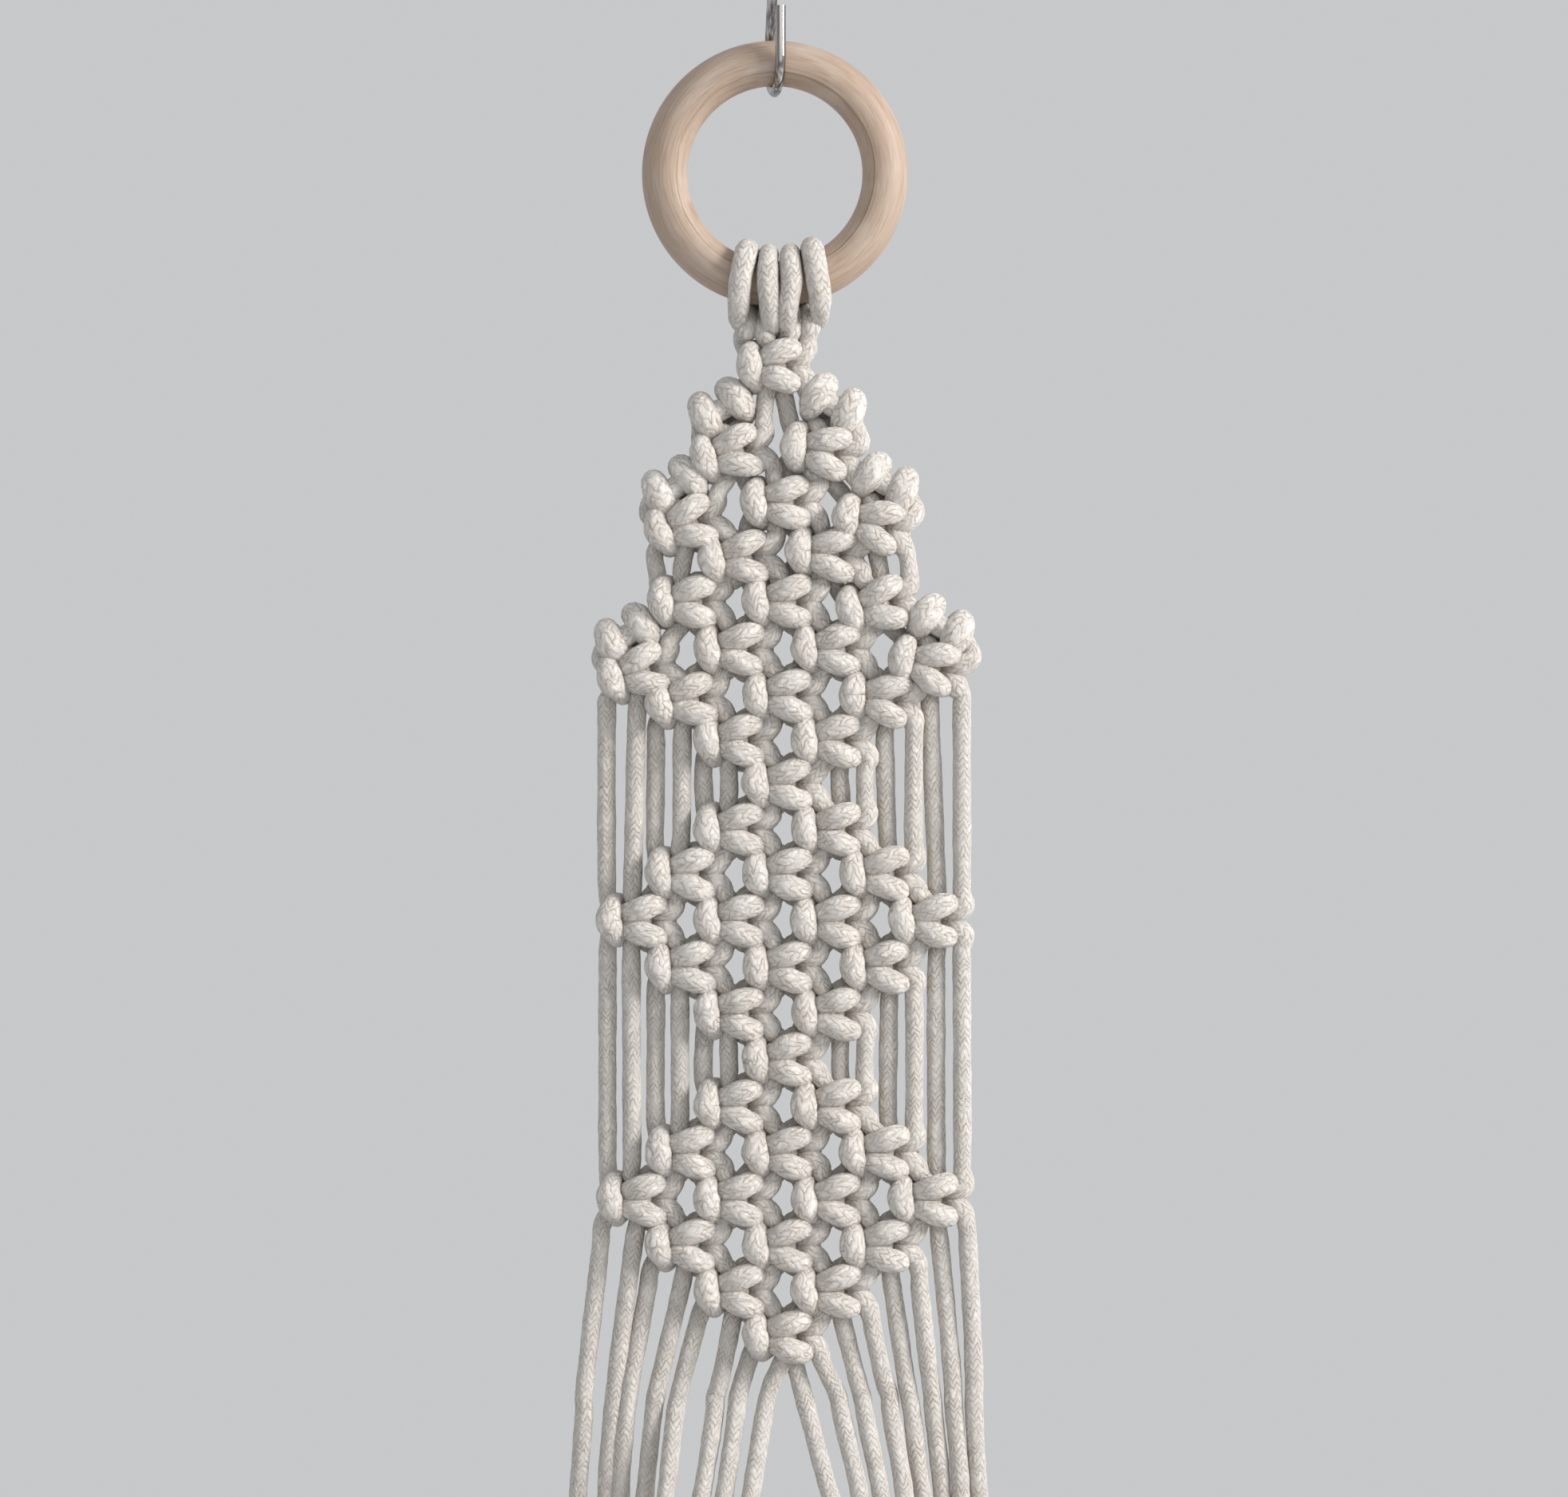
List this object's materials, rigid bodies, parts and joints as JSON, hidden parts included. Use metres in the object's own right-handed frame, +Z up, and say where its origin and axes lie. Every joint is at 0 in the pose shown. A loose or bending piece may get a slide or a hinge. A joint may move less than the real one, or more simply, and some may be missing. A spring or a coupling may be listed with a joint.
{
  "type": "hanging macrame planter",
  "caption": "Hanging planter of knotted cotton cord on a wooden ring and S-shaped hook, holding a clay pot over a gathering knot and tassel.",
  "frame": {"origin": "inside of the hook's upper bend, where the planter hangs", "axes": "+Z up, -Y towards the front of the knotted panel, +X to the right seen from the front"},
  "size_m": [0.1339, 0.129, 0.9104],
  "materials": {
    "steel": "polished",
    "pale_wood": "satin",
    "cotton_cord": "matte",
    "clay": "matte"
  },
  "bodies": {
    "hook": {"s_hook": "steel"},
    "ring": {"ring": "pale_wood"},
    "panel": {"ring_cord_left_panel": "cotton_cord", "ring_cord_right_panel": "cotton_cord", "upper_cord_left_panel": "cotton_cord", "upper_cord_right_panel": "cotton_cord", "middle_cord_left_panel": "cotton_cord", "middle_cord_right_panel": "cotton_cord", "lower_cord_left_panel": "cotton_cord", "lower_cord_right_panel": "cotton_cord"},
    "cradle": {"ring_cord_left_cradle": "cotton_cord", "ring_cord_right_cradle": "cotton_cord", "upper_cord_left_cradle": "cotton_cord", "upper_cord_right_cradle": "cotton_cord", "middle_cord_left_cradle": "cotton_cord", "middle_cord_right_cradle": "cotton_cord", "lower_cord_left_cradle": "cotton_cord", "lower_cord_right_cradle": "cotton_cord", "pot": "clay", "gathering_knot": "cotton_cord"},
    "tassel": {"ring_cord_left_tails": "cotton_cord", "ring_cord_right_tails": "cotton_cord", "upper_cord_left_tails": "cotton_cord", "upper_cord_right_tails": "cotton_cord", "middle_cord_left_tails": "cotton_cord", "middle_cord_right_tails": "cotton_cord", "lower_cord_left_tails": "cotton_cord", "lower_cord_right_tails": "cotton_cord"}
  },
  "joints": [
    {"name": "ring_swing", "type": "hinge", "parent": "hook", "child": "ring", "pos_m": [0, 0, -0.07595], "axis": [0, 1, 0], "range_deg": [-20, 20]},
    {"name": "panel_tilt", "type": "hinge", "parent": "ring", "child": "panel", "pos_m": [0, 0, -0.12445], "axis": [1, 0, 0], "range_deg": [-15, 15]},
    {"name": "cradle_swing", "type": "hinge", "parent": "panel", "child": "cradle", "pos_m": [0, 0, -0.42005], "axis": [1, 0, 0], "range_deg": [-15, 15]},
    {"name": "tassel_swing", "type": "hinge", "parent": "cradle", "child": "tassel", "pos_m": [0, 0, -0.72345], "axis": [1, 0, 0], "range_deg": [-12, 12]}
  ]
}
